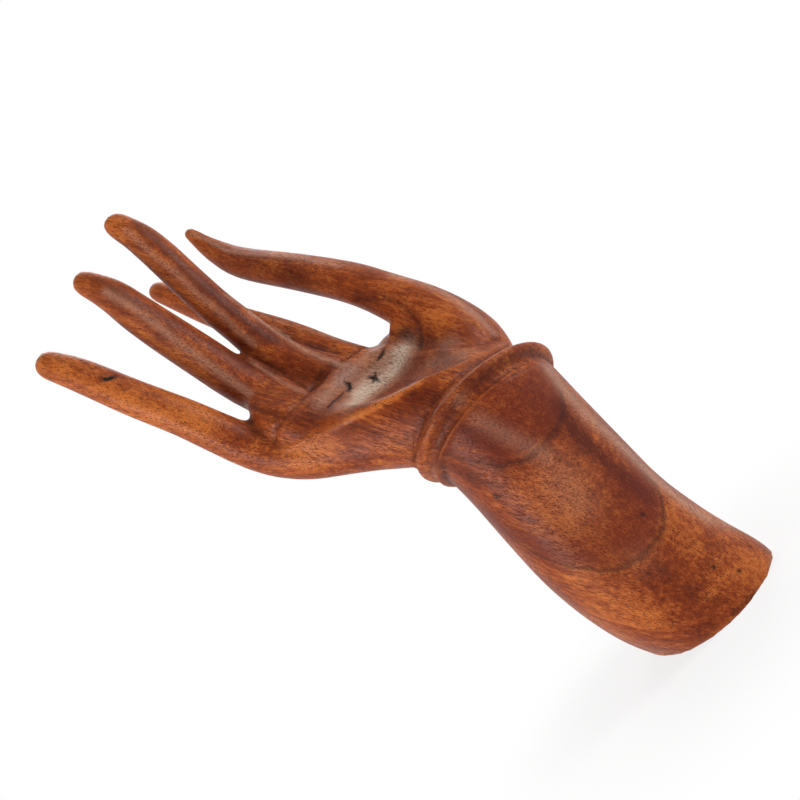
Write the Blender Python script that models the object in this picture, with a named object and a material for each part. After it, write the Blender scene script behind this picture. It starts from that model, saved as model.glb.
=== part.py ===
"""A carved wooden hand for rings and bracelets, standing on the sawn foot of its sleeve.

The whole hand is one piece of wood. Z is up, +X is the thumb's side and -Y is the palm's side,
and the origin is the centre of the foot. Sizes are in millimetres until a shape is made.
"""

import math
from collections import namedtuple

import bmesh
import bpy
from mathutils import Matrix, Vector

MM = 0.001

# A section of a limb: its centre, its width and depth, how far it is turned round the limb in
# degrees, and how square it is (2 is an ellipse, more is squarer).
Section = namedtuple("Section", "x y z width depth turn square")

# A place on a finger's middle line, and the finger's thickness there.
Joint = namedtuple("Joint", "x y z thick")

# A level of the sleeve: how far its middle lies towards the heel, its width and depth, and how
# far it is turned from the sleeve's own direction.
Level = namedtuple("Level", "height heelward width depth turn square")

# Sleeve, from the foot up. Its width runs from the heel, at the back on the little finger's
# side, to the front on the thumb's side.
SLEEVE_TURN = 130.0
SLEEVE = (
    Level(0.0, -5.2, 45.0, 56.0, 24.0, 2.4),
    Level(8.0, -2.4, 48.6, 55.5, 18.0, 2.4),
    Level(22.0, 1.5, 52.6, 55.0, 8.0, 2.4),
    Level(42.0, 3.5, 53.2, 54.0, 0.0, 2.3),
    Level(62.0, 2.5, 52.6, 52.0, 0.0, 2.3),
    Level(84.0, 0.9, 51.6, 51.0, 0.0, 2.3),
    Level(106.0, 0.2, 53.2, 52.0, 0.0, 2.2),
    Level(122.0, 0.2, 55.0, 53.0, 0.0, 2.2),
)
SAW_ALLOWANCE = 6.0

# Wrist ring, a carved band in a plane that tilts up towards the palm and the little finger
RING_HEIGHT = 97.5
RING_HEELWARD = 1.5
RING_TILT = 28.0
RING_TILT_TURN = 216.0
RING_WIDTH = 53.0
RING_DEPTH = 52.5
RING_BREADTH = 9.0
RING_CREST = 3.8
RING_COVE = 1.0
RING_SLEEVE_EDGE = 0.4
RING_HAND_EDGE = 0.8
RING_SINK = 4.0

# Palm, from inside the wrist to the knuckles
PALM = (
    Section(0.0, 0.0, 96.0, 51.0, 47.0, 0.0, 2.2),
    Section(-0.6, 8.6, 110.5, 50.5, 39.0, 6.0, 2.6),
    Section(-2.0, 36.0, 126.0, 52.0, 32.0, 14.0, 2.8),
    Section(-5.5, 53.0, 144.0, 54.0, 20.0, 22.0, 2.5),
    Section(-3.5, 59.0, 157.0, 43.0, 11.0, 22.0, 2.2),
)

# Fingers, from inside the palm to the tips, the web between the thumb and the palm, and the pad
# that crosses the palm at the roots of the fingers
FINGERS = {
    "little": (
        Joint(-12.0, 6.0, 106.0, 20.0),
        Joint(-16.0, 24.0, 117.0, 21.0),
        Joint(-19.0, 38.0, 126.0, 20.5),
        Joint(-24.0, 51.5, 136.0, 19.0),
        Joint(-29.0, 60.5, 149.0, 16.0),
        Joint(-35.0, 67.4, 174.6, 14.2),
        Joint(-39.0, 73.4, 192.4, 13.6),
        Joint(-42.0, 80.6, 212.2, 12.6),
        Joint(-44.0, 86.2, 223.9, 10.6),
    ),
    "ring": (
        Joint(-8.0, 40.0, 136.0, 17.0),
        Joint(-12.0, 55.3, 161.6, 16.0),
        Joint(-14.0, 61.5, 190.5, 15.8),
        Joint(-16.0, 64.6, 212.4, 14.8),
        Joint(-17.0, 66.0, 225.6, 12.8),
        Joint(-18.0, 69.8, 236.5, 9.6),
    ),
    "middle": (
        Joint(1.0, 32.0, 138.0, 15.0),
        Joint(2.0, 48.5, 164.7, 15.0),
        Joint(3.0, 52.6, 185.2, 14.2),
        Joint(2.7, 53.7, 201.3, 13.6),
        Joint(3.5, 54.5, 229.8, 12.8),
        Joint(3.6, 57.9, 244.8, 9.8),
    ),
    "index": (
        Joint(10.0, 26.0, 132.0, 15.0),
        Joint(15.0, 42.0, 152.0, 14.0),
        Joint(18.0, 53.5, 170.6, 13.0),
        Joint(22.0, 73.0, 197.0, 12.0),
        Joint(26.0, 90.5, 224.5, 9.0),
    ),
    "thumb": (
        Joint(10.0, 0.0, 104.0, 26.0),
        Joint(20.0, 1.0, 118.0, 27.0),
        Joint(26.0, 6.0, 135.0, 21.5),
        Joint(30.0, 15.8, 152.4, 17.4),
        Joint(34.0, 26.4, 167.0, 16.0),
        Joint(39.0, 43.6, 185.5, 14.8),
        Joint(43.0, 63.0, 206.4, 13.0),
        Joint(45.0, 70.2, 219.0, 10.0),
        Joint(46.0, 73.6, 231.0, 6.0),
    ),
    "web": (
        Joint(8.0, 10.0, 112.0, 26.0),
        Joint(15.0, 19.0, 126.0, 22.0),
        Joint(19.0, 23.6, 135.5, 17.0),
        Joint(20.4, 25.0, 138.6, 13.0),
    ),
    "pad": (
        Joint(-27.0, 46.0, 136.0, 13.0),
        Joint(-19.0, 40.5, 139.5, 14.0),
        Joint(-10.0, 34.5, 140.5, 14.0),
        Joint(-2.0, 29.0, 139.5, 13.0),
        Joint(7.0, 25.5, 138.0, 12.0),
        Joint(14.0, 24.0, 135.5, 10.0),
    ),
}
TIP_LENGTH = 4.5

# Hollow of the palm, cut with a leaf-shaped scoop from the ring to the pad
HOLLOW = (
    Section(-2.0, -20.0, 117.0, 6.0, 5.0, 0.0, 2.0),
    Section(-5.5, -3.0, 127.5, 22.0, 14.0, 0.0, 2.0),
    Section(-7.0, 7.5, 134.5, 32.0, 21.0, -2.0, 2.0),
    Section(-7.0, 15.0, 140.5, 37.0, 24.0, -5.0, 2.0),
    Section(-7.0, 22.0, 146.5, 38.0, 22.0, -8.0, 2.0),
    Section(-6.0, 27.0, 151.5, 32.0, 15.0, -9.0, 2.0),
)

# Dish beside the hollow, cut into the pad on the little finger's side
DISH = (
    Joint(-37.0, 44.5, 147.0, 4.0),
    Joint(-34.0, 35.5, 147.6, 15.0),
    Joint(-28.5, 28.5, 148.2, 20.5),
    Joint(-22.0, 22.5, 147.8, 23.0),
    Joint(-14.0, 17.5, 147.0, 24.0),
)

# How the limbs grow together and are sanded
BLEND_VOXEL = 1.3
SANDING_PRESSURE = 0.5
SANDING_STEPS = 6
FACET_SHARE = 0.11

WOOD_COLOUR = (0.33, 0.085, 0.022, 1.0)
WOOD_ROUGHNESS = 0.42

LIMB_SIDES = 32
STEPS_BETWEEN = 4
TIP_STEPS = 5


def clear_scene():
    for thing in list(bpy.data.objects):
        bpy.data.objects.remove(thing, do_unlink=True)


def smooth_rows(rows, steps):
    """Rows of numbers read from a smooth curve that goes through the rows given."""
    ends = [[2 * a - b for a, b in zip(rows[0], rows[1])],
            [2 * a - b for a, b in zip(rows[-1], rows[-2])]]
    held = [ends[0], *rows, ends[1]]
    smooth = []
    for before, low, high, after in zip(held, held[1:], held[2:], held[3:]):
        for step in range(steps):
            t = step / steps
            smooth.append([
                0.5 * (2 * b + (c - a) * t + (2 * a - 5 * b + 4 * c - d) * t * t
                       + (3 * b - a - 3 * c + d) * t ** 3)
                for a, b, c, d in zip(before, low, high, after)
            ])
    smooth.append(list(rows[-1]))
    return smooth


def signed_power(value, power):
    return math.copysign(abs(value) ** power, value)


def section_loop(shape, section, heading):
    """One closed loop of vertices, square to the heading."""
    side = Vector((1.0, 0.0, 0.0))
    side = (side - heading * side.dot(heading)).normalized()
    back = heading.cross(side)
    frame = Matrix((side, back, heading)).transposed()
    frame = frame @ Matrix.Rotation(math.radians(section.turn), 3, "Z")
    centre = Vector((section.x, section.y, section.z))
    loop = []
    for number in range(LIMB_SIDES):
        angle = 2 * math.pi * number / LIMB_SIDES
        across = signed_power(math.cos(angle), 2 / section.square) * section.width / 2
        deep = signed_power(math.sin(angle), 2 / section.square) * section.depth / 2
        loop.append(shape.verts.new((centre + frame @ Vector((across, deep, 0.0))) * MM))
    return loop


def new_object(name, shape):
    bmesh.ops.recalc_face_normals(shape, faces=shape.faces)
    mesh = bpy.data.meshes.new(name)
    shape.to_mesh(mesh)
    shape.free()
    thing = bpy.data.objects.new(name, mesh)
    bpy.context.collection.objects.link(thing)
    return thing


def loft(name, sections):
    """A closed limb through its sections."""
    shape = bmesh.new()
    centres = [Vector((s.x, s.y, s.z)) for s in sections]
    loops = []
    for number, section in enumerate(sections):
        before = centres[max(number - 1, 0)]
        after = centres[min(number + 1, len(sections) - 1)]
        loops.append(section_loop(shape, section, (after - before).normalized()))
    for low, high in zip(loops, loops[1:]):
        for number in range(LIMB_SIDES):
            beside = (number + 1) % LIMB_SIDES
            shape.faces.new((low[number], low[beside], high[beside], high[number]))
    shape.faces.new(list(reversed(loops[0])))
    shape.faces.new(loops[-1])
    return new_object(name, shape)


def smooth_sections(sections):
    return [Section(*row) for row in smooth_rows(sections, STEPS_BETWEEN)]


def heelward(distance):
    """A place on the level that lies towards the heel."""
    turn = math.radians(SLEEVE_TURN)
    return distance * math.cos(turn), distance * math.sin(turn)


def ring_place():
    """The frame of the wrist ring: its centre, and its own Z square to the ring."""
    turn = Matrix.Rotation(math.radians(RING_TILT_TURN), 4, "Z")
    tilt = turn @ Matrix.Rotation(math.radians(-RING_TILT), 4, "Y") @ turn.inverted()
    centre = Vector((*heelward(RING_HEELWARD), RING_HEIGHT)) * MM
    return Matrix.Translation(centre) @ tilt


def sleeve():
    """The flared sleeve, which runs up to the ring and on below the foot until it is sawn."""
    foot = SLEEVE[0]
    levels = [foot._replace(height=-SAW_ALLOWANCE), *SLEEVE]
    sections = [
        Section(*heelward(v.heelward), v.height, v.width, v.depth, SLEEVE_TURN + v.turn, v.square)
        for v in levels
    ]
    body = loft("sleeve", smooth_sections(sections))
    place = ring_place()
    shape = bmesh.new()
    shape.from_mesh(body.data)
    everything = shape.verts[:] + shape.edges[:] + shape.faces[:]
    cut = bmesh.ops.bisect_plane(shape, geom=everything, plane_co=place.translation,
                                 plane_no=place.to_3x3().col[2], clear_outer=True)
    rim = [part for part in cut["geom_cut"] if isinstance(part, bmesh.types.BMEdge)]
    bmesh.ops.edgenet_fill(shape, edges=rim)
    bmesh.ops.recalc_face_normals(shape, faces=shape.faces)
    shape.to_mesh(body.data)
    shape.free()
    return body


def finger(name, joints):
    """A tapered round limb that ends in a rounded point."""
    rows = [(j.x, j.y, j.z, j.thick, j.thick, 0.0, 2.0) for j in joints]
    sections = smooth_sections(rows)
    last = sections[-1]
    tip = Vector((last.x, last.y, last.z))
    heading = (tip - Vector((sections[-2].x, sections[-2].y, sections[-2].z))).normalized()
    for step in range(1, TIP_STEPS):
        angle = math.pi / 2 * step / TIP_STEPS
        at = tip + heading * TIP_LENGTH * math.sin(angle)
        thick = last.width * math.cos(angle)
        sections.append(Section(at.x, at.y, at.z, thick, thick, 0.0, 2.0))
    return loft(name, sections)


def as_cutter(tool):
    tool.hide_render = True
    tool.display_type = "WIRE"
    return tool


def carve(body, tool, operation):
    step = body.modifiers.new(tool.name, "BOOLEAN")
    step.operation = operation
    step.object = as_cutter(tool)


def wrist_ring():
    """A band with a crest near the hand and a hollow cove below it, as a disc through the wrist."""
    half = RING_BREADTH / 2
    profile = (
        (-half, -RING_SINK),
        (-half, RING_SLEEVE_EDGE),
        (-half * 0.8, RING_COVE),
        (-half * 0.2, RING_COVE),
        (half * 0.45, RING_CREST),
        (half * 0.75, RING_CREST),
        (half, RING_HAND_EDGE),
        (half, -RING_SINK),
    )
    shape = bmesh.new()
    loops = []
    for along, proud in profile:
        section = Section(0.0, 0.0, along, RING_WIDTH + 2 * proud, RING_DEPTH + 2 * proud,
                          SLEEVE_TURN, 2.0)
        loops.append(section_loop(shape, section, Vector((0.0, 0.0, 1.0))))
    for low, high in zip(loops, loops[1:]):
        for number in range(LIMB_SIDES):
            beside = (number + 1) % LIMB_SIDES
            shape.faces.new((low[number], low[beside], high[beside], high[number]))
    shape.faces.new(list(reversed(loops[0])))
    shape.faces.new(loops[-1])
    bmesh.ops.transform(shape, matrix=ring_place(), verts=shape.verts)
    return new_object("wrist_ring", shape)


def blend(limbs):
    """The limbs grown into one body and sanded smooth."""
    body = limbs[0]
    with bpy.context.temp_override(active_object=body, object=body, selected_objects=limbs,
                                   selected_editable_objects=limbs):
        bpy.ops.object.join()
    body.name = "carved_hand"
    body.modifiers.new("grow_together", "REMESH").voxel_size = BLEND_VOXEL * MM
    carve(body, loft("palm_scoop", smooth_sections(HOLLOW)), "DIFFERENCE")
    carve(body, finger("pad_scoop", DISH), "DIFFERENCE")
    body.modifiers.new("even_out", "REMESH").voxel_size = BLEND_VOXEL * MM
    sanding = body.modifiers.new("sanding", "SMOOTH")
    sanding.factor = SANDING_PRESSURE
    sanding.iterations = SANDING_STEPS
    fewer = body.modifiers.new("fewer_facets", "DECIMATE")
    fewer.ratio = FACET_SHARE
    return body


def foot_saw():
    """The block below the foot that the saw takes off."""
    shape = bmesh.new()
    bmesh.ops.create_cube(shape, size=1.0)
    foot = SLEEVE[0]
    size = Vector((2 * foot.depth, 2 * foot.depth, 2 * SAW_ALLOWANCE)) * MM
    bmesh.ops.scale(shape, vec=size, verts=shape.verts)
    drop = Vector((0.0, 0.0, -SAW_ALLOWANCE)) * MM
    bmesh.ops.translate(shape, vec=drop, verts=shape.verts)
    return new_object("foot_saw", shape)


def stained_wood():
    wood = bpy.data.materials.new("stained_wood")
    wood.use_nodes = True
    shader = wood.node_tree.nodes["Principled BSDF"]
    shader.inputs["Base Color"].default_value = WOOD_COLOUR
    shader.inputs["Roughness"].default_value = WOOD_ROUGHNESS
    shader.inputs["Metallic"].default_value = 0.0
    return wood


def main():
    clear_scene()
    limbs = [sleeve(), loft("palm", smooth_sections(PALM))]
    limbs += [finger(name, joints) for name, joints in FINGERS.items()]
    hand = blend(limbs)
    carve(hand, wrist_ring(), "UNION")
    carve(hand, foot_saw(), "DIFFERENCE")
    hand.data.materials.append(stained_wood())
    hand.data.shade_smooth()


main()
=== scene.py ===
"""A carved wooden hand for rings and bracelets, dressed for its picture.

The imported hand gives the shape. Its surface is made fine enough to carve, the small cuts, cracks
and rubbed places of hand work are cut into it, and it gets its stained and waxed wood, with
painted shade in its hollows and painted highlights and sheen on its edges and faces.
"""
import math

import bmesh
import bpy
import numpy as np
from mathutils import Matrix, Vector
from mathutils.bvhtree import BVHTree


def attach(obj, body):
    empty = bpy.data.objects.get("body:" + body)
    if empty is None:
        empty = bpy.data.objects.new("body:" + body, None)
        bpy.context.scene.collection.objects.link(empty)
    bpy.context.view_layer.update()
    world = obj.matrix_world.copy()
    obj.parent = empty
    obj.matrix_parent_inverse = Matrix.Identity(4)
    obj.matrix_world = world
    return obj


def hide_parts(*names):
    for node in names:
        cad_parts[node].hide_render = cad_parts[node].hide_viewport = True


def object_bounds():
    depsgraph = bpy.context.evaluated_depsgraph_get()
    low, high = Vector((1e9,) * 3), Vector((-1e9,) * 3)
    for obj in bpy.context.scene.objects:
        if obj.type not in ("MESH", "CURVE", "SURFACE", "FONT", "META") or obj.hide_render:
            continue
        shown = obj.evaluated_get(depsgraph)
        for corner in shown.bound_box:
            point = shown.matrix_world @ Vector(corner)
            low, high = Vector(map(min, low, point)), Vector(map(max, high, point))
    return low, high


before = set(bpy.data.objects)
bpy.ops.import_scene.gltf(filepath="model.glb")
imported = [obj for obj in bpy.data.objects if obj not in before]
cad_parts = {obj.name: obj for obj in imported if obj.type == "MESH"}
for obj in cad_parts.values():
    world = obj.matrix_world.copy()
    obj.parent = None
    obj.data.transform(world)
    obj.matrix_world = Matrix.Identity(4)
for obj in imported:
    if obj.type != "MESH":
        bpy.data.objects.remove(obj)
cad_box = [list(corner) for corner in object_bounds()]

MM = 0.001

# The camera looks across the standing hand and is rolled, so that the hand lies in the picture
PHOTO_SIZE = 800
CAMERA_TURN = -50.0
CAMERA_RISE = 1.0
CAMERA_ROLL = 47.0
CAMERA_LENS = 50.0
CAMERA_SENSOR = 36.0
FOOT_PIXEL = (702.5, 610.0)
PIXEL_AT_FOOT = 0.34 * MM

# Directions in the wood: along the fibres, and square to the growth rings
FIBRES = Vector((0.101, 0.595, 0.80)).normalized()
RINGS = Vector((-0.533, -0.655, 0.536)).normalized()

# The wrist ring: a point on its axis, the way the axis points, its radius, and the height that the
# carver gave it at places along the axis
RING_MIDDLE = Vector((-0.96, 1.15, 97.5)) * MM
RING_AXIS = Vector((0.380, 0.276, 0.883)).normalized()
RING_RADIUS = 26.4 * MM
RING_PROFILE = (
    (-5.6, 0.0), (-4.9, 0.3), (-4.5, 1.0), (-4.1, 1.05), (-3.7, 0.45), (-3.1, 0.35), (-1.6, 0.75),
    (-0.7, 1.4), (0.0, 2.7), (0.8, 3.6), (1.7, 4.0), (2.6, 3.9), (3.4, 3.3), (4.0, 2.3),
)
# How far from the ring the skin is made finer, and how far in and out of it the cutting goes
RING_REACH = 6.2 * MM
RING_BELOW = 3.0 * MM
RING_CUT_BELOW = 2.0 * MM
RING_CUT_ABOVE = 6.5 * MM
RING_DEEPEST_CUT = 1.6 * MM
RING_SOFT_END = 0.8 * MM
# On the side of the thumb the cove and the lip run out into the sleeve
RING_FLAT_END = Vector((0.64, -0.76, -0.07)).normalized()
RING_FLAT_PROUD = 0.5 * MM
RING_FLAT_FROM = 0.70
RING_FLAT_OVER = 0.22

# The fine skin: the size of its faces, how often it is smoothed, and the widths of the lines
# along which its faces are halved once and once more
SKIN_VOXEL = 1.10 * MM
SKIN_SANDING = 4
FINE_LINE = 2.5 * MM
FINEST_LINE = 1.0 * MM
# A line at least this dark is painted black: a black mark, and in one pit between finger roots a
# painted shadow
BLACK_DARKNESS = 0.75

# Colours of the wood
STAIN_DEEP = (0.095, 0.010, 0.001, 1.0)
STAIN_MIDDLE = (0.270, 0.046, 0.007, 1.0)
STAIN_THIN = (0.560, 0.150, 0.027, 1.0)
RING_SHADE = (0.145, 0.018, 0.006, 1.0)
RING_LINE = (0.040, 0.005, 0.002, 1.0)
BARE_FLECK = (0.62, 0.18, 0.035, 1.0)
# painted shade in hollows, creases, cracks and the ring's cove
HOLLOW_SHADE_COLOUR = (0.03, 0.006, 0.003, 1.0)
# rubbed edges, lighter partly from wear and partly as painted highlights on edges and ridges
RUBBED_EDGE_AND_HIGHLIGHT = (0.55, 0.15, 0.03, 1.0)
# pale wax, partly real bloom and partly painted sheen and highlights, palest where it is thickest
PALE_WAX_AND_SHEEN = (0.50, 0.29, 0.20, 1.0)
DRY_WAX_AND_SHEEN = (0.64, 0.49, 0.37, 1.0)
PORE = (0.045, 0.007, 0.002, 1.0)
# black marks, also painted as the shadow in a pit between two finger roots
BLACK_MARK_AND_SHADOW = (0.010, 0.004, 0.003, 1.0)
WHITE = (1.0, 1.0, 1.0, 1.0)


def photo_camera():
    """Sets the camera up, and gives its place and its ways right, up and back."""
    turn, rise, roll = (math.radians(v) for v in (CAMERA_TURN, CAMERA_RISE, CAMERA_ROLL))
    back = Vector((math.sin(turn) * math.cos(rise), -math.cos(turn) * math.cos(rise),
                   math.sin(rise)))
    level = Vector((math.cos(turn), math.sin(turn), 0.0))
    upright = back.cross(level)
    right = level * math.cos(roll) - upright * math.sin(roll)
    up = level * math.sin(roll) + upright * math.cos(roll)
    pixels = CAMERA_LENS / CAMERA_SENSOR * PHOTO_SIZE
    middle = PHOTO_SIZE / 2
    aside = -right * (FOOT_PIXEL[0] - middle) + up * (FOOT_PIXEL[1] - middle)
    camera = bpy.data.objects.new("photo_camera", bpy.data.cameras.new("photo_camera"))
    camera.data.lens = CAMERA_LENS
    camera.data.sensor_width = CAMERA_SENSOR
    camera.data.clip_start = 0.01
    place = Matrix((right, up, back)).transposed().to_4x4()
    place.translation = (aside + back * pixels) * PIXEL_AT_FOOT
    camera.matrix_world = place
    bpy.context.scene.collection.objects.link(camera)
    bpy.context.scene.camera = camera
    return place.translation, right, up, back


def object_from(name, shape, material):
    """An object at the origin, made of a finished bmesh."""
    mesh = bpy.data.meshes.new(name)
    shape.to_mesh(mesh)
    shape.free()
    mesh.materials.append(material)
    thing = bpy.data.objects.new(name, mesh)
    bpy.context.scene.collection.objects.link(thing)
    return thing


def fine_skin(node, material):
    """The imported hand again, with a fine even surface that small cuts can be made in."""
    shape = bmesh.new()
    shape.from_mesh(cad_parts[node].data)
    bmesh.ops.remove_doubles(shape, verts=shape.verts, dist=0.001 * MM)
    bmesh.ops.recalc_face_normals(shape, faces=shape.faces)
    skin = object_from("carved_hand_skin", shape, material)
    skin.modifiers.new("even", "REMESH").voxel_size = SKIN_VOXEL
    sanding = skin.modifiers.new("sanding", "SMOOTH")
    sanding.factor = 0.5
    sanding.iterations = SKIN_SANDING
    settled = skin.evaluated_get(bpy.context.evaluated_depsgraph_get())
    mesh = bpy.data.meshes.new_from_object(settled)
    skin.modifiers.clear()
    old = skin.data
    skin.data = mesh
    bpy.data.meshes.remove(old)
    mesh.name = "carved_hand_skin"
    return skin


def points_of(mesh):
    place = np.empty(len(mesh.vertices) * 3)
    mesh.vertices.foreach_get("co", place)
    return place.reshape(-1, 3)


def normals_of(mesh):
    normal = np.empty(len(mesh.vertices) * 3)
    mesh.vertices.foreach_get("normal", normal)
    return normal.reshape(-1, 3)


def put_points(mesh, place):
    mesh.vertices.foreach_set("co", place.ravel())
    mesh.update()


def make_finer(skin, wanted):
    """Halves the faces whose corners are all wanted."""
    shape = bmesh.new()
    shape.from_mesh(skin.data)
    shape.verts.ensure_lookup_table()
    edges = [edge for edge in shape.edges
             if wanted[edge.verts[0].index] and wanted[edge.verts[1].index]]
    bmesh.ops.subdivide_edges(shape, edges=edges, cuts=1, use_grid_fill=True)
    shape.to_mesh(skin.data)
    shape.free()


def ring_places(place):
    """How far each point is along the ring's axis, its distance from the axis, and the way out."""
    offset = place - np.array(RING_MIDDLE)
    axis = np.array(RING_AXIS)
    along = offset @ axis
    out = offset - along[:, None] * axis
    far = np.linalg.norm(out, axis=1)
    return along, far, out / far[:, None]


def carve_ring(skin):
    """Cuts the bead, the cove and the thin lip of the wrist ring crisply."""
    along, far, out = ring_places(points_of(skin.data))
    make_finer(skin, (abs(along) < RING_REACH) & (far > RING_RADIUS - RING_BELOW))
    place = points_of(skin.data)
    along, far, out = ring_places(place)
    stations, proud = np.array(RING_PROFILE).T * MM
    target = RING_RADIUS + np.interp(along, stations, proud)
    towards = out @ np.array(RING_FLAT_END)
    flat = np.clip((towards - RING_FLAT_FROM) / RING_FLAT_OVER, 0.0, 1.0) * (along < 0)
    target += (RING_RADIUS + RING_FLAT_PROUD - target) * flat * np.clip(-along / MM, 0.0, 1.0)
    share = np.clip((along - stations[0]) / RING_SOFT_END, 0.0, 1.0)
    share *= np.clip((stations[-1] - along) / RING_SOFT_END, 0.0, 1.0)
    share *= np.clip((far - (RING_RADIUS - RING_CUT_BELOW)) / (1.2 * MM), 0.0, 1.0)
    share *= np.clip(((RING_RADIUS + RING_CUT_ABOVE) - far) / (1.0 * MM), 0.0, 1.0)
    move = np.clip(target - far, -RING_DEEPEST_CUT, RING_DEEPEST_CUT) * share
    put_points(skin.data, place + out * move[:, None])


class Easel:
    """Finds the place on the hand that is seen at a pixel of the picture."""

    def __init__(self, skin, eye, right, up, back):
        shape = bmesh.new()
        shape.from_mesh(skin.data)
        self.tree = BVHTree.FromBMesh(shape)
        shape.free()
        self.eye, self.right, self.up, self.back = eye, right, up, back

    def touch(self, across, down):
        middle = PHOTO_SIZE / 2
        ahead = CAMERA_LENS / CAMERA_SENSOR * PHOTO_SIZE
        way = self.right * (across - middle) - self.up * (down - middle) - self.back * ahead
        return self.tree.ray_cast(self.eye, way.normalized())[0]

    def line(self, pixels):
        """The places under a line of pixels, one about every two pixels."""
        places = []
        for (x0, y0), (x1, y1) in zip(pixels, pixels[1:]):
            steps = max(2, round(math.hypot(x1 - x0, y1 - y0) / 2))
            for step in range(steps):
                share = step / steps
                places.append(self.touch(x0 + (x1 - x0) * share, y0 + (y1 - y0) * share))
        places.append(self.touch(*pixels[-1]))
        return [np.array(place) for place in places if place is not None]


def pull_tips(skin, easel, pulls):
    """Draws the skin out to the corners that the knife left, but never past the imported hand's box."""
    place = points_of(skin.data)
    for across, down, move_across, move_down, size in pulls:
        spot = np.array(easel.touch(across, down))
        move = (easel.right * move_across - easel.up * move_down) * PIXEL_AT_FOOT
        share = np.clip(1.0 - np.linalg.norm(place - spot, axis=1) / (size * PIXEL_AT_FOOT), 0, 1)
        place = place + (share * share * (3 - 2 * share))[:, None] * np.array(move)
    low, high = np.array(cad_box)
    put_points(skin.data, np.clip(place, low, high))


def near_line(place, line, reach):
    """How far each point is from a traced line, and how many steps from the line's ends.

    Only points within reach of the line's box are measured.
    """
    nearest = np.full(len(place), 1.0)
    ends = np.zeros(len(place))
    spots = np.array(line)
    close = ((place > spots.min(0) - reach) & (place < spots.max(0) + reach)).all(1)
    some = np.flatnonzero(close)
    for number, spot in enumerate(spots):
        far = np.linalg.norm(place[some] - spot, axis=1)
        closer = some[far < nearest[some]]
        nearest[closer] = far[far < nearest[some]]
        ends[closer] = min(number, len(spots) - 1 - number)
    return nearest, ends


def carve_lines(skin, easel, cuts):
    """Moves the skin in under each groove and out under each ridge, with soft ends."""
    traced = [(easel.line(pixels), width * MM, depth * MM, dark)
              for pixels, width, depth, dark in cuts]
    for widest in (FINE_LINE, FINEST_LINE):
        place = points_of(skin.data)
        wanted = np.zeros(len(place), bool)
        for line, width, depth, dark in traced:
            if width < widest:
                wanted |= near_line(place, line, width + MM)[0] < width + 0.5 * MM
        make_finer(skin, wanted)
    place = points_of(skin.data)
    normal = normals_of(skin.data)
    for line, width, depth, dark in traced:
        nearest, ends = near_line(place, line, width)
        deep = np.clip(1.0 - nearest / width, 0.0, 1.0)
        deep = deep * deep * (3 - 2 * deep) * np.clip((ends + 1.5) / 4.0, 0.0, 1.0)
        place = place - normal * (deep * depth)[:, None]
    put_points(skin.data, place)
    return traced


class Nodes:
    """A short way to add and join the nodes of a material."""

    def __init__(self, tree):
        self.tree = tree

    def new(self, kind, inputs=None, **settings):
        node = self.tree.nodes.new(kind)
        for name, value in settings.items():
            setattr(node, name, value)
        for socket, value in (inputs or {}).items():
            if isinstance(value, bpy.types.NodeSocket):
                self.tree.links.new(value, node.inputs[socket])
            else:
                node.inputs[socket].default_value = value
        return node

    def math(self, operation, first, second=0.0):
        return self.new("ShaderNodeMath", {0: first, 1: second}, operation=operation).outputs[0]

    def dot(self, vector, direction):
        node = self.new("ShaderNodeVectorMath", {0: vector, 1: tuple(direction)},
                        operation="DOT_PRODUCT")
        return node.outputs["Value"]

    def noise(self, vector, scale, detail, rough=0.55):
        node = self.new("ShaderNodeTexNoise", {
            "Vector": vector, "Scale": scale, "Detail": detail, "Roughness": rough,
        })
        return node.outputs["Fac"]

    def painted(self, name):
        """A value that was written on the points of the skin."""
        return self.new("ShaderNodeAttribute", attribute_name=name).outputs["Fac"]

    def ramp(self, value, low, high, to_low=0.0, to_high=1.0):
        node = self.new("ShaderNodeMapRange", {
            "Value": value, "From Min": low, "From Max": high, "To Min": to_low,
            "To Max": to_high,
        })
        node.interpolation_type = "SMOOTHSTEP"
        return node.outputs["Result"]

    def mix(self, factor, first, second):
        node = self.tree.nodes.new("ShaderNodeMix")
        node.data_type = "RGBA"
        for socket, value in ((0, factor), (6, first), (7, second)):
            if isinstance(value, bpy.types.NodeSocket):
                self.tree.links.new(value, node.inputs[socket])
            else:
                node.inputs[socket].default_value = value
        return node.outputs[2]


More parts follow.
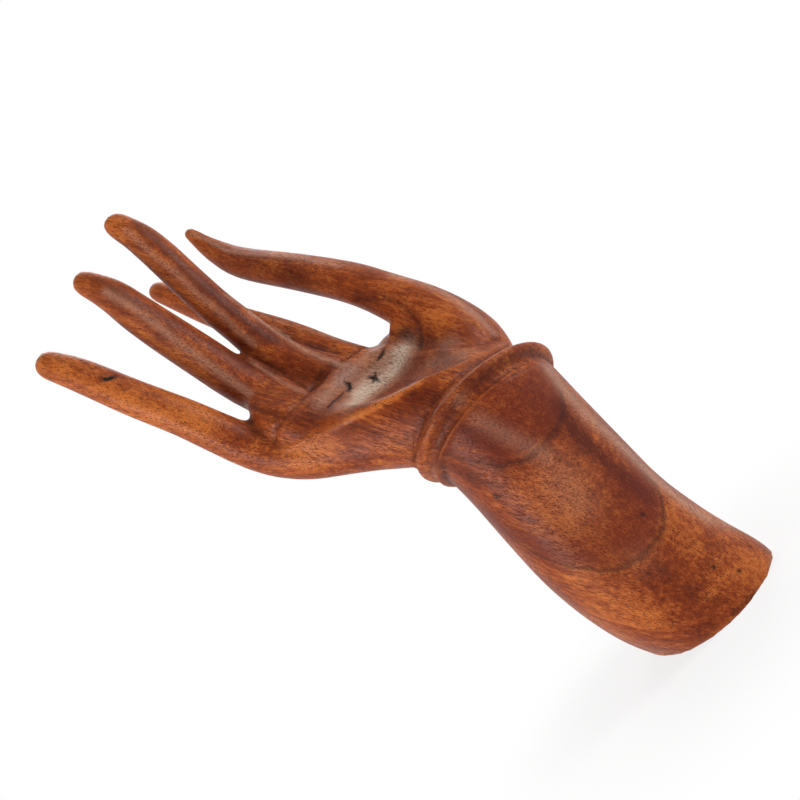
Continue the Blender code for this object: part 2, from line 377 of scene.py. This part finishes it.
def stained_wood():
    """Red-brown stained wood with growth rings, fibres and pores, rubbed and waxed in places, with
    painted shade, highlights and sheen.
    """
    material = bpy.data.materials.new("stained_wood")
    material.use_nodes = True
    tree = material.node_tree
    make = Nodes(tree)
    shader = tree.nodes["Principled BSDF"]
    place = make.new("ShaderNodeTexCoord").outputs["Object"]

    across = FIBRES.cross(RINGS)
    along_u = make.dot(place, FIBRES)
    along_v = make.dot(place, RINGS)
    along_w = make.dot(place, across)
    grain = make.new("ShaderNodeCombineXYZ", {0: along_u, 1: along_v, 2: along_w}).outputs[0]

    def stretched(length, width):
        return make.new("ShaderNodeVectorMath", {0: grain, 1: (1 / length, 1 / width, 1 / width)},
                        operation="MULTIPLY").outputs[0]

    # growth rings: the level in the wood, made a little uneven
    sway = make.math("SUBTRACT", make.noise(place, 38.0, 2.0), 0.5)
    level = make.math("ADD", along_v, make.math("MULTIPLY", sway, 0.0045))
    fine_rings = make.noise(
        make.new("ShaderNodeCombineXYZ", {0: make.math("MULTIPLY", level, 330.0),
                                          1: make.math("MULTIPLY", along_u, 6.0),
                                          2: make.math("MULTIPLY", along_w, 12.0)}).outputs[0],
        1.0, 4.0, 0.6)

    def ring_line(at, width, inside):
        """A dark line at a level of the wood, and a shade that fades on its inner side."""
        gap = make.math("SUBTRACT", level, at)
        line = make.ramp(make.math("ABSOLUTE", gap), 0.0, width, 1.0, 0.0)
        shade = make.math("MULTIPLY", make.ramp(gap, -0.0004, 0.0012),
                          make.ramp(gap, 0.002, inside, 1.0, 0.0))
        return line, shade

    on_sleeve = make.ramp(
        make.math("SUBTRACT", make.dot(place, RING_AXIS), RING_MIDDLE.dot(RING_AXIS)),
        -0.0052, -0.0044, 1.0, 0.0)
    line_a, shade_a = ring_line(0.0652, 0.0010, 0.030)
    line_b, shade_b = ring_line(0.0412, 0.0010, 0.018)
    lines = make.math("MULTIPLY", make.math("MAXIMUM", line_a, line_b), on_sleeve)
    shades = make.math("MULTIPLY", make.math("MAXIMUM", shade_a, shade_b), on_sleeve)

    patches = make.noise(place, 55.0, 4.0, 0.6)
    mottle = make.noise(stretched(0.0022, 0.0011), 1.0, 3.0, 0.65)
    streaks = make.noise(stretched(0.030, 0.0016), 1.0, 4.0, 0.6)
    fibres = make.noise(stretched(0.010, 0.00045), 1.0, 3.0, 0.6)
    short_pores = make.noise(stretched(0.0017, 0.00030), 1.0, 1.0, 0.4)
    long_pores = make.noise(stretched(0.0065, 0.00042), 1.0, 2.0, 0.5)
    flecks = make.noise(stretched(0.0016, 0.0006), 1.0, 2.0, 0.5)
    pore = make.math("MAXIMUM", make.ramp(short_pores, 0.575, 0.675),
                     make.ramp(long_pores, 0.575, 0.665))
    pore = make.math("MULTIPLY", pore, make.ramp(patches, 0.35, 0.60, 0.45, 1.0))
    fleck = make.ramp(flecks, 0.58, 0.72)

    # how thick the stain lies, with painted light and shade written on the skin added to it
    tone = make.math("ADD", make.math("MULTIPLY", patches, 0.75),
                     make.math("MULTIPLY", streaks, 0.65))
    tone = make.math("ADD", tone, make.math("MULTIPLY", fibres, 0.50))
    tone = make.math("ADD", tone, make.math("MULTIPLY", fine_rings, 0.35))
    tone = make.math("ADD", tone, make.math("MULTIPLY", mottle, 0.55))
    tone = make.math("ADD", tone, make.painted("stain_light_and_shade"))
    tone = make.ramp(tone, 1.02, 1.80)
    colour = make.new("ShaderNodeValToRGB", {"Fac": tone})
    stops = colour.color_ramp.elements
    stops[0].position, stops[0].color = 0.0, STAIN_DEEP
    stops[1].position, stops[1].color = 1.0, STAIN_THIN
    stops.new(0.5).color = STAIN_MIDDLE
    wood = colour.outputs["Color"]
    wood = make.mix(make.math("MULTIPLY", shades, 0.55), wood, RING_SHADE)
    wood = make.mix(make.math("MULTIPLY", lines, 0.62), wood, RING_LINE)
    wood = make.mix(make.math("MULTIPLY", fleck, 0.15), wood, BARE_FLECK)

    # hollows with painted shade, rubbed edges with painted highlights, pale wax with painted sheen, and
    # the pores and black marks that show through it
    wood = make.mix(make.math("MULTIPLY", make.painted("hollow_shade"), 0.75), wood, HOLLOW_SHADE_COLOUR)
    wood = make.mix(make.math("MULTIPLY", make.painted("worn_and_highlight"), 0.45), wood, RUBBED_EDGE_AND_HIGHLIGHT)
    wax_and_sheen = make.math("MULTIPLY", make.painted("wax_and_sheen"), make.ramp(fibres, 0.30, 0.60, 0.55, 1.0))
    wood = make.mix(wax_and_sheen, wood, PALE_WAX_AND_SHEEN)
    wood = make.mix(make.ramp(wax_and_sheen, 0.85, 1.50), wood, DRY_WAX_AND_SHEEN)
    wood = make.mix(make.math("MULTIPLY", pore, 0.72), wood, PORE)
    wood = make.mix(make.painted("black_marks_and_shadow"), wood, BLACK_MARK_AND_SHADOW)
    tree.links.new(wood, shader.inputs["Base Color"])

    rough = make.ramp(make.math("ADD", make.math("MULTIPLY", streaks, 0.5),
                                make.math("MULTIPLY", pore, 0.5)), 0.1, 0.8, 0.40, 0.62)
    tree.links.new(rough, shader.inputs["Roughness"])
    height = make.math("SUBTRACT", make.math("MULTIPLY", fibres, 0.5), pore)
    bump = make.new("ShaderNodeBump", {"Height": height, "Strength": 0.35, "Distance": 0.00025})
    tree.links.new(bump.outputs["Normal"], shader.inputs["Normal"])
    shader.inputs["Specular IOR Level"].default_value = 0.17
    shader.inputs["Sheen Weight"].default_value = 0.13
    shader.inputs["Sheen Roughness"].default_value = 0.30
    shader.inputs["Sheen Tint"].default_value = (1.0, 0.86, 0.76, 1.0)
    return material


def mark_places(skin, easel, traced):
    """Writes painted shade in hollows, rubbed edges with painted highlights, uneven staining with
    painted light and shade, and wax with painted sheen.
    """
    mesh = skin.data
    count = len(mesh.vertices)
    place = points_of(mesh)
    normal = normals_of(mesh)
    pairs = np.empty(len(mesh.edges) * 2, dtype=np.int64)
    mesh.edges.foreach_get("vertices", pairs)
    one, two = pairs.reshape(-1, 2).T
    degree = np.bincount(one, minlength=count) + np.bincount(two, minlength=count)

    def spread(values):
        """The mean of each point's neighbours."""
        total = np.zeros_like(values)
        for axis in range(values.shape[1]):
            total[:, axis] = (np.bincount(one, values[two, axis], count)
                              + np.bincount(two, values[one, axis], count))
        return total / degree[:, None]

    soft = place.copy()
    for step in range(10):
        soft = 0.5 * soft + 0.5 * spread(soft)
    rise = ((soft - place) * normal).sum(1) / MM
    rise = rise[:, None]
    for step in range(3):
        rise = 0.5 * rise + 0.5 * spread(rise)
    rise = rise[:, 0]
    # painted shade in hollows, from how far each point lies below its smoothed neighbours
    hollow_shade = np.clip((rise - 0.03) / 0.22, 0.0, 1.0)
    # painted highlights on the rounded edges, partly rubbed bright, from how far each point stands
    # above its smoothed neighbours
    worn_and_highlight = np.clip((-rise - 0.10) / 0.30, 0.0, 1.0)
    black_marks_and_shadow = np.zeros(count)
    for line, width, depth, dark in traced:
        nearest, ends = near_line(place, line, 1.3 * width)
        paint = np.clip(1.25 - nearest / width, 0.0, 1.0) * np.clip((ends + 2.0) / 4.0, 0.0, 1.0)
        # a very dark line is painted black, for black marks and for the shadow in one pit; a less dark
        # line paints shade, and a line below nothing paints a highlight
        if dark > BLACK_DARKNESS:
            black_marks_and_shadow = np.maximum(black_marks_and_shadow, np.clip(1.6 * paint, 0.0, 1.0) * dark)
        elif dark > 0:
            hollow_shade = np.maximum(hollow_shade, paint * dark)
        else:
            worn_and_highlight = np.maximum(worn_and_highlight, -paint * dark)

    def painted(spots, bands):
        """The sum of soft round spots and of soft bands along lines, at each point."""
        total = np.zeros(count)
        for across, down, size, amount in spots:
            spot = easel.touch(across, down)
            if spot is not None:
                far = np.linalg.norm(place - np.array(spot), axis=1) / (size * PIXEL_AT_FOOT)
                total += amount * np.exp(-far * far)
        for pixels, size, amount in bands:
            wide = size * PIXEL_AT_FOOT
            nearest, ends = near_line(place, easel.line(pixels), 2.2 * wide)
            total += amount * np.exp(-np.minimum(nearest / wide, 9.0) ** 2)
        return total

    # the skin gets its painted shade in hollows, rubbed edges with painted highlights, black marks,
    # uneven stain with painted light and shade, and pale wax with painted sheen
    for name, values in (("hollow_shade", hollow_shade), ("worn_and_highlight", worn_and_highlight), ("black_marks_and_shadow", black_marks_and_shadow),
                         ("stain_light_and_shade", painted(STAIN_LIGHT_AND_SHADE_SPOTS, STAIN_LIGHT_AND_SHADE_BANDS)),
                         ("wax_and_sheen", np.clip(painted(WAX_AND_SHEEN_SPOTS, WAX_AND_SHEEN_BANDS), 0.0, 2.0))):
        layer = mesh.attributes.new(name, "FLOAT", "POINT")
        layer.data.foreach_set("value", values.astype(np.float32))


def studio(up, right, back):
    """A white floor, a white world with a dimmer side behind the camera, and soft lamps."""
    scene = bpy.context.scene
    scene.view_settings.view_transform = "Standard"
    world = bpy.data.worlds.new("studio")
    scene.world = world
    world.use_nodes = True
    make = Nodes(world.node_tree)
    plain = world.node_tree.nodes["Background"]
    path = make.new("ShaderNodeLightPath")
    way = make.new("ShaderNodeTexCoord").outputs["Generated"]
    mirrored = make.math("MULTIPLY", path.outputs["Is Glossy Ray"],
                         make.ramp(make.dot(way, back), -0.3, 0.5, 1.0, 0.12))
    seen = make.math("MAXIMUM", path.outputs["Is Camera Ray"], mirrored)
    seen = make.math("MAXIMUM", seen, path.outputs["Is Transmission Ray"])
    plain.inputs["Color"].default_value = WHITE
    world.node_tree.links.new(make.ramp(seen, 0.0, 1.0, 0.30, 1.0), plain.inputs["Strength"])

    paper = bpy.data.materials.new("studio_paper")
    paper.use_nodes = True
    tree = paper.node_tree
    make = Nodes(tree)
    matt = tree.nodes["Principled BSDF"]
    matt.inputs["Base Color"].default_value = (0.93, 0.93, 0.93, 1.0)
    matt.inputs["Roughness"].default_value = 1.0
    matt.inputs["Specular IOR Level"].default_value = 0.0
    glow = make.new("ShaderNodeEmission", {"Color": WHITE, "Strength": 1.0})
    path = make.new("ShaderNodeLightPath")
    seen = make.math("MAXIMUM", path.outputs["Is Camera Ray"], path.outputs["Is Glossy Ray"])
    seen = make.math("MAXIMUM", seen, path.outputs["Is Transmission Ray"])
    place = make.new("ShaderNodeTexCoord").outputs["Object"]
    far = make.new("ShaderNodeVectorMath", {0: place}, operation="LENGTH").outputs["Value"]
    share = make.math("MULTIPLY", seen, make.ramp(far, 0.03, 0.11, 0.80, 1.0))
    both = make.new("ShaderNodeMixShader", {0: share, 1: matt.outputs[0], 2: glow.outputs[0]})
    tree.links.new(both.outputs[0], tree.nodes["Material Output"].inputs["Surface"])
    floor = bmesh.new()
    bmesh.ops.create_grid(floor, x_segments=1, y_segments=1, size=3.0)
    object_from("studio_floor", floor, paper)

    def lamp(name, towards, distance, size, watts):
        light = bpy.data.lights.new(name, "AREA")
        light.shape = "DISK"
        light.size = size
        light.energy = watts
        holder = bpy.data.objects.new(name, light)
        middle = Vector((0.0, 0.03, 0.12))
        holder.location = middle + towards.normalized() * distance
        holder.rotation_mode = "QUATERNION"
        holder.rotation_quaternion = towards.to_track_quat("Z", "Y")
        scene.collection.objects.link(holder)

    lamp("key_softbox", up * 1.0 + right * 0.35 + back * 0.35, 1.0, 0.45, 6.5)
    lamp("side_softbox", up * 0.6 - right * 0.5 - back * 0.8, 1.0, 0.6, 4.0)
    lamp("fill_softbox", back * 0.6 - up * 0.9 - right * 0.6, 1.0, 0.5, 15.0)


# Grooves and ridges that the knife left and cracks in the wood, as lines of pixels with a width
# and a depth in millimetres and a darkness, which paints shade along the line, and black where it
# is very dark. A ridge has a depth below nothing, and a darkness below nothing is rubbed bright and
# painted as a highlight. Lines with no depth are only painted shade or highlight.
KNIFE_AND_PAINTED_LIGHT_LINES = (
    # the edge of the palm's pad, the ridge across the palm, and the valley below the thumb, with
    # painted shade in the grooves and painted highlights along the ridges
    (((275, 447), (275, 430), (284, 417), (294, 406), (309, 392), (319, 383), (330, 369), (344, 360),
      (361, 348), (377, 345)), 1.6, 0.8, 0.5),
    (((283, 451), (313, 437), (347, 420), (379, 403), (408, 390), (427, 378), (465, 363), (485, 353),
      (503, 344)), 1.7, -0.4, -0.7),
    (((350, 298), (372, 297), (392, 298), (401, 304), (411, 313), (418, 325), (421, 340), (418, 352)),
     2.2, 0.9, 0.35),
    (((420, 349), (440, 347), (465, 346), (485, 343), (500, 339)), 1.4, 0.5, 0.3),
    (((404, 282), (425, 291), (450, 304), (470, 317)), 1.6, -0.2, -0.2),
    (((470, 317), (478, 324), (485, 333)), 1.8, -0.3, -0.8),
    # along the upper side of the thumb
    (((201, 236), (226, 251), (246, 257), (267, 258), (290, 260)), 0.8, 0.1, 0.45),
    # painted shade beside the ring and in its cove, and a painted highlight along its bead
    (((512, 342), (494, 354), (470, 368), (456, 380), (437, 396), (423, 419), (415, 446), (414, 466)),
     1.2, 0.6, 0.5),
    (((523, 340), (481, 363), (448, 390), (435, 413), (426, 442), (423, 462)), 0.9, 0.0, -0.6),
    (((534, 349), (512, 357), (495, 367), (478, 380), (463, 393), (451, 410), (443, 430), (438, 450),
      (437, 470)), 2.8, 0.0, 0.58),
    # painted shade in the pits and creases at the roots of the fingers, black in one pit
    (((306, 392), (314, 384), (322, 372), (330, 364)), 1.4, 0.8, 0.75),
    (((311, 389), (315, 386)), 1.3, 0.6, 1.0),
    (((270, 420), (278, 417), (285, 412)), 1.4, 0.8, 0.75),
    (((252, 357), (268, 365), (284, 374), (300, 384), (310, 391)), 1.2, 0.3, 0.6),
    (((248, 404), (258, 409), (268, 412), (284, 417)), 1.5, 0.2, 0.6),
    (((262, 326), (283, 336), (305, 346), (330, 356), (345, 358)), 1.1, 0.3, 0.5),
    # cracks, chips, pin holes and black marks, and a painted shadow line at the edge of a shallow flat
    # in the palm
    (((414, 446), (413, 438), (415, 431), (418, 427)), 0.6, 0.4, 0.75),
    (((369, 377), (374, 378), (378, 381)), 1.0, 0.7, 1.0),
    (((375, 373), (375, 378), (373, 382)), 0.9, 0.7, 1.0),
    (((378, 381), (383, 384), (388, 389)), 0.8, 0.3, 0.5),
    (((345, 382), (349, 384), (350, 388), (348, 391)), 0.8, 0.5, 1.0),
    (((328, 408), (333, 402), (338, 398), (343, 393)), 0.7, 0.3, 0.8),
    (((352, 411), (353, 403), (360, 394), (369, 387), (378, 386)), 0.9, 0.3, 0.35),
    (((378, 360), (382, 354), (384, 349)), 0.8, 0.4, 0.9),
    (((346, 423), (371, 430), (396, 439), (412, 441)), 0.8, 0.1, 0.5),
    (((302, 449), (319, 461), (346, 464)), 0.8, 0.1, 0.4),
    (((102, 379), (108, 379), (115, 376)), 1.0, 0.3, 1.0),
    (((766, 583), (757, 592), (745, 603), (733, 613)), 0.9, 0.2, 0.7),
    (((495, 496), (499, 497)), 0.8, 0.4, 0.9),
    (((641, 515), (645, 515)), 0.7, 0.2, 0.8),
    (((713, 567), (715, 567)), 0.7, 0.4, 0.9),
    (((738, 571), (740, 571)), 0.7, 0.4, 0.9),
    (((592, 607), (598, 611)), 0.6, 0.2, 0.7),
    (((602, 605), (607, 610)), 0.6, 0.2, 0.7),
    (((657, 564), (675, 581), (697, 596), (722, 601)), 1.6, 0.0, 0.35),
)

# Pulls at the ends of three fingers and at the web of the thumb: a pixel, how far to pull across
# and down, and a size, all in pixels
TIP_PULLS = (
    (114, 229, -6, -2, 24), (84, 284, -5, -1, 22), (192, 236, -4, -4, 16), (398, 330, -8, 0, 18),
)

# Where the stain is lighter, or darker for an amount below nothing: a pixel, a size in pixels and
# an amount. The bands have a line of pixels in place of the one pixel. Part of this is painted light
# and shade: sides of the fingers and the sleeve made lighter or darker, and a painted highlight
# along the ridge across the palm.
STAIN_LIGHT_AND_SHADE_SPOTS = (
    # fingers
    (112, 220, 12, 0.10), (130, 300, 12, 0.05), (220, 385, 22, -0.05), (140, 395, 45, 0.16),
    (200, 410, 30, 0.16), (60, 365, 20, 0.10), (300, 340, 25, -0.10),
    # thumb and its root
    (330, 275, 30, 0.05), (445, 312, 24, 0.20), (400, 325, 16, 0.12), (360, 300, 14, -0.15),
    # palm
    (330, 443, 24, 0.30), (300, 456, 22, 0.20), (308, 427, 22, -0.30), (420, 398, 16, -0.30),
    (395, 420, 16, -0.15), (455, 352, 10, 0.15), (346, 415, 12, -0.10),
    # ring and sleeve
    (440, 412, 16, -0.22), (475, 378, 16, -0.15), (520, 405, 30, -0.10), (560, 520, 30, 0.05),
    (600, 602, 36, 0.14), (655, 572, 16, -0.12), (690, 595, 14, -0.10), (750, 570, 22, 0.25),
    (700, 530, 30, 0.10), (640, 620, 20, 0.15),
)
STAIN_LIGHT_AND_SHADE_BANDS = (
    # fingers
    (((136, 222), (159, 243), (179, 261), (204, 286), (229, 306), (250, 326), (275, 341)), 6, -0.42),
    (((96, 280), (150, 308), (200, 338), (245, 363), (275, 378)), 6, -0.20),
    (((60, 353), (100, 362), (150, 376), (200, 393), (245, 410)), 5, -0.22),
    (((60, 372), (110, 394), (170, 420)), 7, 0.14),
    (((102, 307), (140, 331), (180, 359), (215, 383)), 5, 0.20),
    (((120, 238), (150, 264), (180, 290), (205, 312)), 4, 0.18),
    # sleeve
    (((558, 406), (577, 431), (604, 459), (625, 477), (650, 498)), 8, -0.32),
    (((466, 430), (478, 440), (500, 455)), 9, -0.30),
    (((474, 450), (500, 458), (526, 454), (543, 441)), 3, 0.30),
    (((470, 475), (500, 495), (530, 520)), 9, -0.16),
    # a painted highlight along the ridge across the palm
    (((346, 421), (372, 409), (400, 394), (422, 382)), 3, 0.45),
)

# Where the wax has bloomed pale, and where sheen and highlights are painted, in the same way
WAX_AND_SHEEN_SPOTS = (
    (450, 343, 12, 0.30), (560, 478, 26, 0.20), (580, 505, 22, 0.16), (460, 400, 8, 0.20),
    (722, 524, 12, 0.30), (470, 312, 10, 0.15), (640, 560, 18, 0.10), (318, 404, 10, 0.20),
)
WAX_AND_SHEEN_BANDS = (
    # painted sheen in the hollow of the palm and on the pad across the finger roots
    (((353, 404), (366, 393), (380, 382), (392, 371), (400, 360), (404, 349)), 13, 1.55),
    (((374, 352), (360, 362), (350, 372), (338, 384), (322, 400)), 9, 0.55),
    (((392, 352), (380, 362), (366, 378), (355, 392)), 8, 0.65),
    # painted highlights along the fingers
    (((106, 292), (134, 308), (159, 327), (179, 343), (204, 361), (229, 379), (250, 394)), 5, 0.50),
    (((126, 230), (154, 256), (174, 271), (196, 293), (221, 313), (237, 331), (254, 344)), 4, 0.38),
    (((226, 295), (245, 308), (265, 323), (289, 338)), 3, 0.50),
    (((250, 313), (268, 326), (287, 339), (307, 351), (325, 359), (343, 364)), 4, 0.60),
    (((252, 363), (270, 374), (290, 386), (306, 393)), 3, 0.45),
    (((262, 316), (290, 324), (320, 334), (345, 342)), 3, 0.35),
    # painted highlights along the thumb and its root
    (((191, 234), (204, 238), (226, 250), (246, 254), (270, 255), (300, 258), (340, 266)), 3, 0.55),
    (((392, 275), (420, 282), (440, 291), (460, 303), (480, 318), (494, 333)), 5, 0.50),
    (((430, 362), (450, 356), (472, 351)), 7, 0.30),
    # sleeve: a painted highlight along its edge, and a pale band below the ring
    (((550, 371), (564, 389), (587, 415), (609, 434), (631, 455), (653, 477), (676, 496), (706, 518)),
     10, 0.62),
    (((478, 420), (500, 432), (525, 445), (545, 455)), 9, 0.26),
)

eye, right, up, back = photo_camera()
wood = stained_wood()
hand = fine_skin("carved_hand", wood)
carve_ring(hand)
easel = Easel(hand, eye, right, up, back)
pull_tips(hand, easel, TIP_PULLS)
traced = carve_lines(hand, easel, KNIFE_AND_PAINTED_LIGHT_LINES)
hand.data.shade_smooth()
mark_places(hand, easel, traced)
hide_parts("carved_hand")
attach(hand, "root")
studio(up, right, back)
